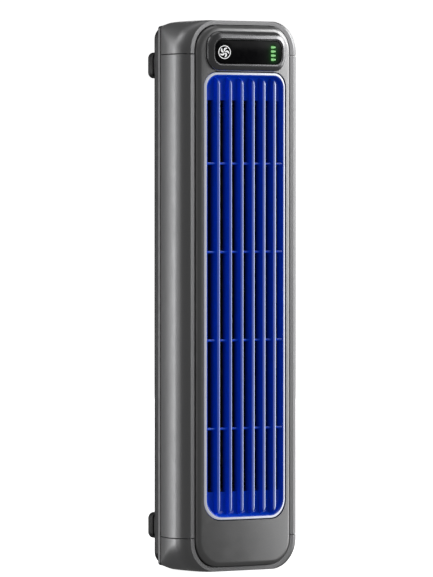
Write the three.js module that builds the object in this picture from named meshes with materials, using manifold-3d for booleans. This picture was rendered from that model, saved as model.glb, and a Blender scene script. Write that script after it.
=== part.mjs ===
// Slim rechargeable tower fan: a cross-flow blower in a two-sided casing with end caps, a crowned front panel
// with a louvred outlet and a display pod, and a slotted rear cover that stands on four rubber feet.
// Millimetres, +Z up, the front faces -Y. The origin is on the floor, at the middle of the whole object's box.
import * as THREE from "three";
import Module from "manifold-3d";
import { mergeVertices } from "three/addons/utils/BufferGeometryUtils.js";

const wasm = await Module();
wasm.setup();

// ---- driving dimensions ------------------------------------------------------------------------------------
const HEIGHT = 300; // over the end caps
const HALF = HEIGHT / 2;
const Y_LENS = -1.36; // front of the display lens on the centre line; y = 0 is the front edge of the louvres
const Y_FRONT = -2.03; // front of the display trim ring
const Y_BACK = 41.2; // outer face of the rear cover
const FOOT_H = 9.5; // how far the feet stand out of the rear cover
const Y_SHIFT = (Y_FRONT + Y_BACK + FOOT_H) / 2; // puts the middle of the depth on the origin

const RIM_Y = 5.5, RIM_A = 34.75, RIM_B = 149.6; // casing's front rim: depth, half width, half height
const RIM_IN_A = 32.1, RIM_IN_B = 147.4; // opening inside the rim
const SEAM_Y = 32.4, SEAM_A = 35.6; // casing's rear edge: depth, half width
const BULGE = 5.3, BULGE_Y = 13.5, FLARE = 25; // how far the sides swell beyond the rim, where they are widest, and the flare's starting angle
const END_CROWN = 2.4, CORNER_FRONT = 16.3, CORNER_REAR = 1.2;
const LIP_Y = 35.2; // rear edge of the lip with which the rear cover meets the casing
const WALL = 2.2, SPLIT_Z = 131.4, SPLIT_GAP = 0.36;

const CROWN_R = 185; // radius of the front panel's crown, about a vertical axis
const PANEL_Y = 0.87, PANEL_A = 31.7, PANEL_B = 147.1, PANEL_FILLET = 2.75, PANEL_T = 2.0;

const GRILLE_A = 27.3, GRILLE_B = 121.6, GRILLE_RIM = 2.2, GRILLE_RT = 7.8, GRILLE_RB = 10.4;
const LOUVRE_PITCH = 7.54, LOUVRE_T = 1.7, LOUVRE_DEPTH = 7.2, RIB_PITCH = 48.05, RIB_T = 1.3;
const OUTLET_B = 106.5; // half height of the open outlet

const POD_Z = 132.7, POD_A = 26.3, POD_B = 10.9, LENS_A = 22.3, LENS_B = 6.3;
const KEY_X = -16.5, KEY_R = 4.2, LED_X = 16.5, LED_PITCH = 2.24;

const FAN_Y = 23, FAN_R = 13, FAN_L = 206, BLADES = 14;
const FOOT_X = 25, FOOT_Z = 126.0, FOOT_A = 7.1; // FOOT_A: half width of a foot's rounded square

// ---- helpers -------------------------------------------------------------------------------------------------
const sag = (x, R = CROWN_R) => R - Math.sqrt(R * R - x * x);

function solidOf(geometry) {
  let g = geometry.clone();
  for (const k of Object.keys(g.attributes)) if (k !== "position") g.deleteAttribute(k);
  g = mergeVertices(g, 1e-4);
  return new wasm.Manifold(new wasm.Mesh({
    numProp: 3, vertProperties: new Float32Array(g.attributes.position.array), triVerts: new Uint32Array(g.index.array) }));
}
function geometryOf(solid) {
  const m = solid.getMesh(), n = m.numProp, v = new Float32Array(m.numVert * 3);
  for (let i = 0; i < m.numVert; i++) v.set(m.vertProperties.subarray(i * n, i * n + 3), i * 3);
  const g = new THREE.BufferGeometry();
  g.setAttribute("position", new THREE.BufferAttribute(v, 3));
  g.setIndex(new THREE.BufferAttribute(new Uint32Array(m.triVerts), 1));
  return g;
}
// Rounded rectangle in the XZ plane, the top run left to right and the bottom run right to left, both with the same count.
function outline(a, b, rt, rb = rt, { cx = 0, cz = 0, nc = 6, ns = 6 } = {}) {
  const top = [], bottom = [];
  const arc = (list, ox, oz, r, from, to) => {
    for (let i = 0; i <= nc; i++) {
      const t = ((from + ((to - from) * i) / nc) * Math.PI) / 180;
      list.push([cx + ox + r * Math.cos(t), cz + oz + r * Math.sin(t)]);
    }
  };
  const run = (list, x0, x1, z) => {
    for (let i = 1; i < ns; i++) list.push([cx + x0 + ((x1 - x0) * i) / ns, cz + z]);
  };
  arc(top, -a + rt, b - rt, rt, 180, 90); run(top, -a + rt, a - rt, b); arc(top, a - rt, b - rt, rt, 90, 0);
  arc(bottom, a - rb, -b + rb, rb, 0, -90); run(bottom, a - rb, -a + rb, -b); arc(bottom, -a + rb, -b + rb, rb, -90, -180);
  return top.concat(bottom);
}
// Solid through rings of [x, y, z] points with equal counts; its ends are closed with upright strips.
function loft(rings) {
  const n = rings[0].length, m = n / 2, pos = [], idx = [];
  for (const r of rings) for (const p of r) pos.push(...p);
  for (let k = 0; k + 1 < rings.length; k++)
    for (let i = 0; i < n; i++) {
      const a = k * n + i, b = k * n + ((i + 1) % n), c = a + n, d = b + n;
      idx.push(a, b, d, a, d, c);
    }
  const end = (o, flip) => {
    for (let i = 0; i + 1 < m; i++) {
      const t0 = o + i, t1 = o + i + 1, b0 = o + n - 1 - i, b1 = o + n - 2 - i;
      const tri = [[t0, b0, b1], [t0, b1, t1]];
      for (const [p, q, s] of tri) flip ? idx.push(p, s, q) : idx.push(p, q, s);
    }
  };
  end(0, false); end((rings.length - 1) * n, true);
  const g = new THREE.BufferGeometry();
  g.setAttribute("position", new THREE.BufferAttribute(new Float32Array(pos), 3));
  g.setIndex(idx);
  let v = 0;
  for (let i = 0; i < idx.length; i += 3) {
    const p = idx.slice(i, i + 3).map((j) => new THREE.Vector3(pos[3 * j], pos[3 * j + 1], pos[3 * j + 2]));
    v += p[0].dot(p[1].clone().cross(p[2])) / 6;
  }
  if (v < 0) for (let i = 0; i < idx.length; i += 3) [idx[i + 1], idx[i + 2]] = [idx[i + 2], idx[i + 1]];
  g.setIndex(idx);
  return solidOf(g);
}
const ring = (o, y, R = 0) => o.map(([x, z]) => [x, y + (R ? sag(x, R) : 0), z]);
const prism = (o, y0, y1, R = 0) => loft([ring(o, y0, R), ring(o, y1, R)]);
function box(x0, x1, y0, y1, z0, z1) {
  const g = new THREE.BoxGeometry(x1 - x0, y1 - y0, z1 - z0);
  g.translate((x0 + x1) / 2, (y0 + y1) / 2, (z0 + z1) / 2);
  return solidOf(g);
}
// Solid of revolution; profile is [radius, height] pairs from axis to axis, or closed on itself. axis is "z" or "y".
function lathe(profile, segments, axis, x = 0, y = 0, z = 0) {
  const g = new THREE.LatheGeometry(profile.map(([r, h]) => new THREE.Vector2(r, h)), segments);
  if (axis === "z") g.rotateX(Math.PI / 2);
  g.translate(x, y, z);
  const s = solidOf(g);
  if (s.volume() > 0) return s;
  const i = g.index.array;
  for (let k = 0; k < i.length; k += 3) [i[k + 1], i[k + 2]] = [i[k + 2], i[k + 1]];
  return solidOf(g);
}
const rodZ = (r, x, y, z0, z1, seg = 24) => lathe([[0, z0], [r, z0], [r, z1], [0, z1]], seg, "z", x, y, 0);
const tubeZ = (r0, r1, x, y, z0, z1, seg = 24) =>
  lathe([[r0, z0], [r1, z0], [r1, z1], [r0, z1], [r0, z0]], seg, "z", x, y, 0);
const rodY = (r, x, z, y0, y1, seg = 24) => lathe([[0, y0], [r, y0], [r, y1], [0, y1]], seg, "y", x, 0, z);
// Upright wall of thickness t along a path in the XY plane.
function wall(path, t, z0, z1) {
  const left = [], right = [];
  path.forEach(([x, y], i) => {
    const [xa, ya] = path[Math.max(0, i - 1)], [xb, yb] = path[Math.min(path.length - 1, i + 1)];
    const l = Math.hypot(xb - xa, yb - ya), nx = -(yb - ya) / l, ny = (xb - xa) / l;
    left.push(new THREE.Vector2(x + (nx * t) / 2, y + (ny * t) / 2));
    right.unshift(new THREE.Vector2(x - (nx * t) / 2, y - (ny * t) / 2));
  });
  const g = new THREE.ExtrudeGeometry(new THREE.Shape(left.concat(right)), { depth: z1 - z0, bevelEnabled: false });
  g.translate(0, 0, z0);
  return solidOf(g);
}
function polygonZ(points, z0, z1) {
  const g = new THREE.ExtrudeGeometry(new THREE.Shape(points.map(([x, y]) => new THREE.Vector2(x, y))), { depth: z1 - z0, bevelEnabled: false });
  g.translate(0, 0, z0);
  return solidOf(g);
}
// Lead of round or flat section along a smooth path.
function lead(points, section, steps) {
  const curve = new THREE.CatmullRomCurve3(points.map((p) => new THREE.Vector3(...p)), false, "centripetal");
  return solidOf(new THREE.ExtrudeGeometry(section, { steps, bevelEnabled: false, extrudePath: curve }));
}
function roundSection(r, n = 8) {
  const s = [];
  for (let i = 0; i < n; i++) s.push(new THREE.Vector2(r * Math.cos((2 * Math.PI * i) / n), r * Math.sin((2 * Math.PI * i) / n)));
  return new THREE.Shape(s);
}
const union = (list) => list.reduce((a, b) => a.add(b));

// ---- assembly --------------------------------------------------------------------------------------------------
const fan = new THREE.Group();
const PAINT = [0.26, 0.26, 0.27], BLUE = [0.01, 0.05, 0.5], BLACK = [0.02, 0.02, 0.022], STEEL = [0.62, 0.63, 0.65];
function part(name, solid, colour, roughness, metalness = 0, parent = fan) {
  const mesh = new THREE.Mesh(geometryOf(solid),
    new THREE.MeshStandardMaterial({ color: new THREE.Color(...colour), roughness, metalness }));
  mesh.name = name;
  parent.add(mesh);
  return mesh;
}

// Casing: one bulged ring from the front rim to the rear seam, cut into two end caps and two side shells.
const depthAt = (y) => Math.min(1, Math.max(0, (y - RIM_Y) / (SEAM_Y - RIM_Y)));
const flareC = Math.cos((FLARE * Math.PI) / 180), flareS = Math.sin((FLARE * Math.PI) / 180);
const halfWidth = (y) => y < BULGE_Y
  ? RIM_A + (BULGE * (Math.sqrt(1 - (flareC * Math.min(1, (BULGE_Y - y) / (BULGE_Y - RIM_Y))) ** 2) - flareS)) / (1 - flareS)
  : RIM_A + BULGE - (RIM_A + BULGE - SEAM_A) * ((y - BULGE_Y) / (SEAM_Y - BULGE_Y)) ** 2;
// The ends rise to a flat land, on which the fan stands, and fall away towards the rear seam and the side edges.
const halfHeight = (t) => t < 0.08 ? RIM_B + (HALF - RIM_B) * Math.sin((t / 0.08) * Math.PI / 2) : t < 0.8 ? HALF : HALF - 0.8 * ((t - 0.8) / 0.2) ** 1.6;
const corner = (t) => CORNER_REAR + (CORNER_FRONT - CORNER_REAR) * (1 - t ** 2.2);
function casingRing(inset, y) {
  const t = depthAt(y), a = halfWidth(y) - inset, b = halfHeight(t) - inset, r = Math.max(1, corner(t) - inset * 0.6), flat = 0.55 * (a - r);
  const drop = (x) => END_CROWN * t * (Math.max(0, Math.abs(x) - flat) / (a - flat)) ** 2;
  const top = [], bottom = [];
  for (let i = 0; i <= 4; i++) {
    const c = (i / 4) * (Math.PI / 2);
    top.push([-a + r - r * Math.cos(c), b - r + r * Math.sin(c)]);
  }
  for (const f of [-0.78, -0.55, 0.55, 0.78]) top.push([f * (a - r), b]);
  for (let i = 4; i >= 0; i--) top.push([-top[i][0], top[i][1]]);
  for (const q of top) q[1] -= drop(q[0]);
  for (let i = top.length - 1; i >= 0; i--) bottom.push([top[i][0], -top[i][1]]);
  return ring(top.concat(bottom), y);
}
const outerY = [0.4, 1.2, 2.4, 4.4, 8, 13, 18, 22.5].map((d) => RIM_Y + d).concat(SEAM_Y);
const casing = loft([casingRing(0, RIM_Y), ...outerY.map((y) => casingRing(0, y))])
  .subtract(prism(outline(RIM_IN_A, RIM_IN_B, 14.0, undefined, { nc: 4, ns: 1 }), RIM_Y - 1, 12))
  .subtract(loft([RIM_Y + 2.8, RIM_Y + 5, BULGE_Y, 19, 25, SEAM_Y - 1.9].map((y) => casingRing(WALL, y))))
  .subtract(prism(outline(33.0, 145.2, 6.0, undefined, { nc: 4, ns: 1 }), SEAM_Y - 5, SEAM_Y + 1));
const g2 = SPLIT_GAP / 2;
const slab = (x0, x1, z0, z1) => box(x0, x1, RIM_Y - 5, SEAM_Y + 5, z0, z1);
part("top_cap", casing.intersect(slab(-60, 60, SPLIT_Z + g2, 200)), PAINT, 0.38, 0.6);
part("bottom_cap", casing.intersect(slab(-60, 60, -200, -SPLIT_Z - g2)), PAINT, 0.38, 0.6);
part("left_side_shell", casing.intersect(slab(-60, -20, -SPLIT_Z + g2, SPLIT_Z - g2)), PAINT, 0.38, 0.6);
part("right_side_shell", casing.intersect(slab(20, 60, -SPLIT_Z + g2, SPLIT_Z - g2)), PAINT, 0.38, 0.6);

// Front panel: a crowned plate with a rolled edge, a flange behind the casing's rim, and four long screw posts.
const panelOutline = (inset) => outline(PANEL_A - inset, PANEL_B - inset, 13.8 - inset * 0.55, undefined, { nc: 4, ns: 6 });
const panelOuter = () => {
  const rings = [];
  for (let i = 0; i <= 3; i++) {
    const t = (i / 3) * (Math.PI / 2);
    rings.push(ring(panelOutline(PANEL_FILLET * (1 - Math.sin(t))), PANEL_Y + PANEL_FILLET * (1 - Math.cos(t)), CROWN_R));
  }
  rings.push(ring(panelOutline(0), 10.0));
  return loft(rings);
};
const panelInner = loft([ring(panelOutline(3.6), PANEL_Y + PANEL_T, CROWN_R), ring(panelOutline(2.1), PANEL_Y + PANEL_T + 2.2, CROWN_R), ring(panelOutline(1.9), 20)]);
const panelFlange = prism(outline(33.9, 147.3, 15, undefined, { nc: 4, ns: 1 }), RIM_Y + 3.2, 10.0)
  .subtract(prism(panelOutline(1.0), 0, 20));
const post = (x, z) => rodY(3.6, x, z, 4.6, 38.9, 10).subtract(rodY(1.15, x, z, 26.5, 60, 8));
const frontPanel = union([panelOuter().subtract(panelInner), panelFlange,
  ...[-1, 1].flatMap((i) => [-1, 1].map((k) => post(i * FOOT_X, k * FOOT_Z)))])
  .subtract(prism(outline(GRILLE_A + 0.35, GRILLE_B + 0.35, GRILLE_RT + 0.35, GRILLE_RB + 0.35, { nc: 5, ns: 1 }), -5, 8))
  .subtract(prism(outline(POD_A - 1.5, 8.55, 7.2, undefined, { cz: POD_Z, nc: 4, ns: 1 }), -5, 8));
part("front_panel", frontPanel, PAINT, 0.35, 0.6);

// Outlet grille: rim, recessed walls, end plates, six louvres and four cross ribs in one moulding.
const go = (inset, ns = 6) => outline(GRILLE_A - inset, GRILLE_B - inset, GRILLE_RT - inset * 0.6, GRILLE_RB - inset * 0.6, { nc: 5, ns });
const yRim = PANEL_Y + 0.15;
const grilleBody = loft([ring(go(0.5), yRim, CROWN_R), ring(go(0), yRim + 0.5, CROWN_R), ring(go(0), yRim + 6.6)])
  .subtract(loft([ring(go(GRILLE_RIM - 0.6), yRim - 1.2, CROWN_R), ring(go(GRILLE_RIM + 0.3), yRim + 1.0, CROWN_R), ring(go(GRILLE_RIM + 0.6), yRim + 2.6, CROWN_R), ring(go(GRILLE_RIM + 1.8), yRim + 3.4, CROWN_R)]))
  .subtract(box(-24.6, 24.6, -5, 20, -OUTLET_B, OUTLET_B));
const louvres = [-2.5, -1.5, -0.5, 0.5, 1.5, 2.5].map((k) => {
  const x = k * LOUVRE_PITCH, y = sag(x, 177), h = LOUVRE_T / 2;
  return polygonZ([[x - 0.35, y], [x + 0.35, y], [x + h, y + 0.7], [x + h * 0.8, y + LOUVRE_DEPTH], [x - h * 0.8, y + LOUVRE_DEPTH], [x - h, y + 0.7]], -119.4, 119.4);
});
const ribs = [-1.5, -0.5, 0.5, 1.5].map((k) => box(-25.2, 25.2, 3.2, 6.8, k * RIB_PITCH - RIB_T / 2, k * RIB_PITCH + RIB_T / 2));
part("outlet_grille", union([grilleBody, ...louvres, ...ribs]), BLUE, 0.25);

// Display pod: raised trim ring, black lens, push key, light guide, board and switch.
const po = (a, b, r) => outline(a, b, r, undefined, { cz: POD_Z, nc: 5, ns: 4 });
const podTop = Y_FRONT;
// Rings of the trim from its foot on the panel (s = 0) to its crest round the lens (s = 1); the foot sits a little higher.
const trim = (s) => outline(POD_A - 2.85 * s, POD_B - 3.45 * s, 8.2 - 3.0 * s, undefined, { cz: POD_Z + 0.4 * (1 - s), nc: 5, ns: 4 });
const bezel = loft([
  ring(po(23.1, 7.1, 5.0), podTop + 0.35, CROWN_R), ring(trim(1), podTop, CROWN_R), ring(trim(0.5), podTop + 0.5, CROWN_R), ring(trim(0.18), podTop + 1.4, CROWN_R),
  ring(trim(0), PANEL_Y - 0.2, CROWN_R), ring(po(POD_A - 1.8, 8.25, 6.9), PANEL_Y - 0.19, CROWN_R), ring(po(POD_A - 1.8, 8.25, 6.9), 7.0)])
  .subtract(prism(po(LENS_A + 0.2, LENS_B + 0.2, 4.5), -6, 12));
part("display_bezel", bezel, [0.3, 0.3, 0.31], 0.18, 0.9);
const ledZ = [-1.5, -0.5, 0.5, 1.5].map((k) => POD_Z - 0.5 + k * LED_PITCH);
const lens = prism(po(LENS_A, LENS_B, 4.3), Y_LENS, 0.35, CROWN_R)
  .subtract(rodY(KEY_R + 0.2, KEY_X, POD_Z, -6, 6, 24))
  .subtract(union(ledZ.map((z) => box(LED_X - 1.8, LED_X + 1.8, -6, 6, z - 0.72, z + 0.72))));
part("display_lens", lens, BLACK, 0.06);
const keyY = Y_LENS + sag(KEY_X);
part("power_key", rodY(KEY_R, KEY_X, POD_Z, keyY, 1.2, 24).add(rodY(1.7, KEY_X, POD_Z, 1.0, 1.7, 10)), BLACK, 0.06);
part("switch_plunger", rodY(1.0, KEY_X, POD_Z, 2.0, 3.4, 12), [0.5, 0.1, 0.08], 0.5);
part("switch_body", box(KEY_X - 3, KEY_X + 3, 2.3, 4.2, POD_Z - 3, POD_Z + 3).subtract(rodY(1.3, KEY_X, POD_Z, 0, 4.0, 12)), BLACK, 0.5);
const yl = Y_LENS + sag(LED_X);
part("indicator_light_guide", union([box(LED_X - 2.2, LED_X + 2.2, 1.5, 2.6, ledZ[0] - 1.1, ledZ[3] + 1.1),
  ...ledZ.map((z) => box(LED_X - 1.6, LED_X + 1.6, yl + 0.12, 1.9, z - 0.53, z + 0.53))]), [0.35, 0.9, 0.35], 0.3);
part("display_board", union([prism(po(21.2, 5.7, 3.2), 4.5, 5.6), box(-6, 2, 3.4, 4.7, POD_Z - 2.5, POD_Z + 2.5),
  ...ledZ.map((z) => box(LED_X - 0.8, LED_X + 0.8, 3.7, 4.7, z - 0.5, z + 0.5)), box(14, 21, 5.4, 7.6, POD_Z - 5.2, POD_Z - 1.4)]), [0.02, 0.2, 0.08], 0.45);

// Rear cover: a shallow dish with a slotted air inlet, a charge socket opening and four screw holes under the feet.
const co = (inset, r = 7) => outline(35.2 - inset, 147.3 - inset, r - inset * 0.6, undefined, { nc: 4, ns: 1 });
const cf = 3.2;
const coverRings = [ring(co(0), SEAM_Y + 0.35), ring(co(0.15), Y_BACK - cf)];
for (let i = 1; i <= 3; i++) {
  const t = (i / 3) * (Math.PI / 2);
  coverRings.push(ring(co(0.15 + cf * (1 - Math.cos(t))), Y_BACK - cf * (1 - Math.sin(t))));
}
const slots = [];
for (let k = -9.5; k <= 9.5; k++) for (const s of [-1, 1]) {
  const c = s * 10.6;
  slots.push(box(c - 9.2, c + 9.2, Y_BACK - 6, Y_BACK + 3, k * 9.6 - 1.8, k * 9.6 + 1.8));
}
const PORT_X = 26.2, PORT_Z = -96;
const lip = (inset, y) => casingRing(inset, SEAM_Y).map(([x, , z]) => [x, y, z]);
let rearCover = loft(coverRings).add(loft([lip(0, SEAM_Y + 0.35), lip(0, LIP_Y - 0.4), lip(0.4, LIP_Y)]))
  .subtract(loft([ring(co(2.2, 6), SEAM_Y - 3), ring(co(2.3, 6), Y_BACK - 4.2), ring(co(4.2, 6), Y_BACK - 2.0)]))
  .add(prism(outline(32.6, 144.8, 5.6, undefined, { nc: 4, ns: 1 }), SEAM_Y - 1.7, SEAM_Y + 1.2).subtract(prism(outline(31.2, 143.4, 4.6, undefined, { nc: 4, ns: 1 }), SEAM_Y - 5, SEAM_Y + 5)))
  .add(prism(outline(33.4, 145.6, 6, undefined, { nc: 4, ns: 1 }), SEAM_Y + 0.35, SEAM_Y + 1.5).subtract(prism(outline(31.2, 143.4, 4.6, undefined, { nc: 4, ns: 1 }), SEAM_Y - 5, SEAM_Y + 5)))
  .subtract(union(slots))
  .subtract(prism(outline(1.85, 4.7, 1.8, undefined, { cx: PORT_X, cz: PORT_Z, nc: 4, ns: 1 }), 30, 60));
for (const i of [-1, 1]) for (const k of [-1, 1]) rearCover = rearCover.subtract(rodY(1.7, i * FOOT_X, k * FOOT_Z, 30, 60, 10));
part("rear_cover", rearCover, PAINT, 0.4, 0.5);
for (const [i, u] of [[-1, "left"], [1, "right"]]) for (const [k, v] of [[-1, "lower"], [1, "upper"]]) {
  const x = i * FOOT_X, z = k * FOOT_Z;
  const fo = (a, y) => ring(outline(a, a, a * 0.46, undefined, { cx: x, cz: z, nc: 4, ns: 1 }), Y_BACK + y);
  part(`rear_foot_${v}_${u}`, loft([fo(6.7, 0.25), fo(6.7, 3.2), fo(6.3, 3.5), fo(FOOT_A, 3.9), fo(FOOT_A, 7.8), fo(6.5, 8.9), fo(5.6, FOOT_H)])
    .subtract(rodY(3.6, x, z, Y_BACK - 1, Y_BACK + 3.2, 16)), BLACK, 0.7);
  part(`cover_screw_${v}_${u}`, lathe([[0, 28.5], [0.95, 28.5], [0.95, Y_BACK + 0.2], [2.9, Y_BACK + 0.2], [2.9, Y_BACK + 1.1], [2.2, Y_BACK + 2.0], [0, Y_BACK + 2.0]], 10, "y", x, 0, z), STEEL, 0.35, 0.9);
}

// Blower: scroll wall on the right, tongue wall on the left, and end plates.
const scroll = [];
for (let i = 0; i <= 9; i++) {
  const a = (18 + (i * 112) / 9) * (Math.PI / 180), r = 14.2 + (5.4 * i) / 9;
  scroll.push([r * Math.sin(a), FAN_Y + r * Math.cos(a)]);
}
scroll.push([19.6, 9.8], [24.4, 8.7]);
part("blower_scroll", wall(scroll, 1.4, -104.7, 104.7), [0.012, 0.03, 0.2], 0.45);
part("blower_tongue", wall([[-24.4, 8.7], [-18, 10.2], [-12.6, 12.6], [-13.6, 15.2], [-16.0, 19.4], [-16.5, 26], [-16.5, 38.6]], 1.2, -104.7, 104.7), [0.012, 0.03, 0.2], 0.45);
const plate = (z0, z1, r) => box(-24.6, 24.6, 9.9, 38.6, z0, z1).subtract(rodZ(r, 0, FAN_Y, z0 - 5, z1 + 5, 20));
part("blower_top_plate", plate(105.0, 107.0, 7.3), BLACK, 0.5);
part("blower_bottom_plate", plate(-107.0, -105.0, 6.4).subtract(rodZ(1.2, -9.4, FAN_Y, -120, -90, 10)).subtract(rodZ(1.2, 9.4, FAN_Y, -120, -90, 10)), BLACK, 0.5);

// Rotor: cross-flow wheel, top pivot, drive hub, motor shaft and armature, all turning together.
const wheel = [];
wheel.push(tubeZ(4.6, FAN_R - 0.2, 0, FAN_Y, -FAN_L / 2, -FAN_L / 2 + 1.6, 20), tubeZ(8.9, FAN_R - 0.2, 0, FAN_Y, -0.6, 0.6, 20),
  tubeZ(1.75, FAN_R - 0.2, 0, FAN_Y, FAN_L / 2 - 1.6, FAN_L / 2, 20));
for (let b = 0; b < BLADES; b++) {
  const a0 = (b / BLADES) * 2 * Math.PI, out = [], inn = [];
  for (let i = 0; i <= 2; i++) {
    const r = 9.6 + ((FAN_R - 9.6) * i) / 2, lean = 0.34 * (i / 2) ** 1.6;
    out.push([r * Math.cos(a0 + lean), FAN_Y + r * Math.sin(a0 + lean)]);
    inn.unshift([r * Math.cos(a0 + lean + 0.7 / r), FAN_Y + r * Math.sin(a0 + lean + 0.7 / r)]);
  }
  wheel.push(polygonZ(out.concat(inn), -FAN_L / 2 + 0.8, FAN_L / 2 - 0.8));
}
part("fan_wheel", union(wheel), BLACK, 0.4);
part("top_pivot_pin", rodZ(1.5, 0, FAN_Y, 98.5, 110.6, 12), STEEL, 0.25, 1);
part("drive_hub", lathe([[1.25, -103.4], [7.5, -103.4], [7.5, -104.6], [1.25, -104.6], [1.25, -103.4]], 16, "z", 0, FAN_Y, 0)
  .add(tubeZ(1.25, 4.3, 0, FAN_Y, -103.6, -94.0, 16)), BLACK, 0.6);
part("motor_shaft", rodZ(1.0, 0, FAN_Y, -130.0, -95.0, 10), STEEL, 0.2, 1);
const armature = tubeZ(1.2, 8.4, 0, FAN_Y, -127.0, -114.0, 20);
const armSlots = [];
for (let k = 0; k < 5; k++) {
  const g = new THREE.BoxGeometry(4.6, 1.6, 20); g.translate(7.2, 0, 0); g.rotateZ((k * 2 * Math.PI) / 5 + 0.3); g.translate(0, FAN_Y, -120.5);
  armSlots.push(solidOf(g));
}
part("motor_armature", armature.subtract(union(armSlots)), [0.35, 0.2, 0.1], 0.4, 0.6);

// Motor, bearings and their mounts.
part("motor_can", tubeZ(12.3, 13.5, 0, FAN_Y, -131.5, -110.6, 24).add(lathe([[1.3, -131.5], [12.8, -131.5], [12.8, -130.4], [1.3, -130.4], [1.3, -131.5]], 24, "z", 0, FAN_Y, 0)), STEEL, 0.3, 0.9);
part("motor_magnet_ring", tubeZ(9.2, 11.9, 0, FAN_Y, -127.4, -113.6, 20), [0.08, 0.08, 0.085], 0.6);
part("motor_end_bell", tubeZ(1.3, 11.9, 0, FAN_Y, -112.6, -110.8, 20).add(tubeZ(1.3, 5.9, 0, FAN_Y, -111, -106.2, 20)), BLACK, 0.5);
for (const [i, u] of [[-1, "left"], [1, "right"]])
  part(`motor_screw_${u}`, lathe([[0, -110.4], [0.95, -110.4], [0.95, -104.9], [2.0, -104.9], [2.0, -104.72], [0, -104.72]], 8, "z", i * 9.4, FAN_Y, 0), STEEL, 0.3, 0.9);
part("bearing_mount", tubeZ(4.95, 7.0, 0, FAN_Y, 104.9, 107.4, 20).add(tubeZ(4.95, 9.2, 0, FAN_Y, 107.25, 109.2, 20)), BLACK, 0.8);
part("bearing_bush", tubeZ(1.7, 4.6, 0, FAN_Y, 105.2, 109.8, 16), [0.55, 0.4, 0.18], 0.35, 1);

// Battery, control board, charge socket and leads.
const cell = (z) => union([rodZ(9.1, -26.7, 22.3, z, z + 64.2, 20), rodZ(3.0, -26.7, 22.3, z + 64, z + 65.2, 10)]);
part("battery_cell_lower", cell(-98.5), [0.12, 0.35, 0.2], 0.4);
part("battery_cell_upper", cell(-33.0), [0.12, 0.35, 0.2], 0.4);
part("battery_retainer_lower", box(-32.6, -18.0, 15.5, 29.8, -101.4, -98.8), BLACK, 0.5);
part("battery_retainer_upper", box(-32.6, -18.0, 15.5, 29.8, 32.5, 35.0), BLACK, 0.5);
part("control_board", union([box(28.2, 29.4, 13.5, 33.4, -112, -40), box(24.6, 28.3, 17, 24, -82, -74), box(25.6, 28.3, 16, 26, -68, -58),
  box(26.2, 28.3, 27, 31, -72, -48), box(25.2, 28.3, 15, 20, -54, -46), box(26.4, 28.3, 15, 22, -104, -96)]), [0.02, 0.2, 0.08], 0.45);
part("charge_socket_shell", prism(outline(1.6, 4.45, 1.55, undefined, { cx: PORT_X, cz: PORT_Z, nc: 4, ns: 1 }), 33.7, 41.1)
  .subtract(prism(outline(1.28, 4.12, 1.25, undefined, { cx: PORT_X, cz: PORT_Z, nc: 4, ns: 1 }), 34.5, 60)), STEEL, 0.3, 1);
part("charge_socket_tongue", box(PORT_X - 0.35, PORT_X + 0.35, 34.8, 40.2, PORT_Z - 3.3, PORT_Z + 3.3), BLACK, 0.5);
part("battery_lead", lead([[-26.7, 24, -101.8], [-26.5, 25, -106], [-23, 29, -110.5], [-13, 36.0, -112], [0, 37.85, -112.4], [13, 36.0, -112.8], [22, 31, -114], [27, 25, -115], [28.8, 22, -113.4]], roundSection(0.8), 24), [0.5, 0.02, 0.02], 0.5);
part("motor_lead", lead([[6, 25, -132.8], [9, 26, -135.4], [14, 26.5, -135], [17.5, 26, -130], [18, 24.5, -120], [21, 22, -115.6], [25.5, 19, -115.2], [28.8, 17.5, -113.4]], roundSection(0.8), 24), [0.45, 0.3, 0.02], 0.5);
const flat = new THREE.Shape([[-0.25, -3], [0.25, -3], [0.25, 3], [-0.25, 3]].map(([x, y]) => new THREE.Vector2(x, y)));
part("display_ribbon", solidOf((() => {
  const strip = [], path = [[31.4, -39.5], [31.4, 0], [31.4, 60], [31.2, 108], [29.5, 116], [25.8, 120.5], [20.5, 122.6]];
  const off = (s) => path.map(([x, z], i) => {
    const [xa, za] = path[Math.max(0, i - 1)], [xb, zb] = path[Math.min(path.length - 1, i + 1)], l = Math.hypot(xb - xa, zb - za);
    return new THREE.Vector2(x - (s * (zb - za)) / l, z + (s * (xb - xa)) / l);
  });
  strip.push(...off(0.25), ...off(-0.25).reverse());
  const g = new THREE.ExtrudeGeometry(new THREE.Shape(strip), { depth: 6, bevelEnabled: false });
  g.rotateX(Math.PI / 2); g.translate(0, 19, 0);
  return g;
})()), [0.6, 0.6, 0.62], 0.5);

fan.position.set(0, -Y_SHIFT, HALF);
const root = new THREE.Group();
root.name = "tower_fan";
root.add(fan);
export default root;
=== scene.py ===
import bpy
import bmesh
import math
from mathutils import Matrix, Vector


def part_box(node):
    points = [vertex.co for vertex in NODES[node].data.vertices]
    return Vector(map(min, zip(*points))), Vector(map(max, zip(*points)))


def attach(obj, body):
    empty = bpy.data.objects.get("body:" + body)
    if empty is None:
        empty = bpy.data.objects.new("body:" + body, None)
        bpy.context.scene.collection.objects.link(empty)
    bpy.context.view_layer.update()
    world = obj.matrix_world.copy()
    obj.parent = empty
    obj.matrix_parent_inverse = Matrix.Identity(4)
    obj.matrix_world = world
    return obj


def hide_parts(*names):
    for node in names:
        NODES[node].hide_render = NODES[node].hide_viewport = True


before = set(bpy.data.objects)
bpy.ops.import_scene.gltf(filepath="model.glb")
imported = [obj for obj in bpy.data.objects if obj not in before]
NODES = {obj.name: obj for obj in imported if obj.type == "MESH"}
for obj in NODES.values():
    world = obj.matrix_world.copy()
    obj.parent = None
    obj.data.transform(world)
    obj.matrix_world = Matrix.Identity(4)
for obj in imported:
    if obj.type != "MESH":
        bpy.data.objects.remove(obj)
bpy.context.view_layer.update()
SCENE = bpy.context.scene

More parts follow.
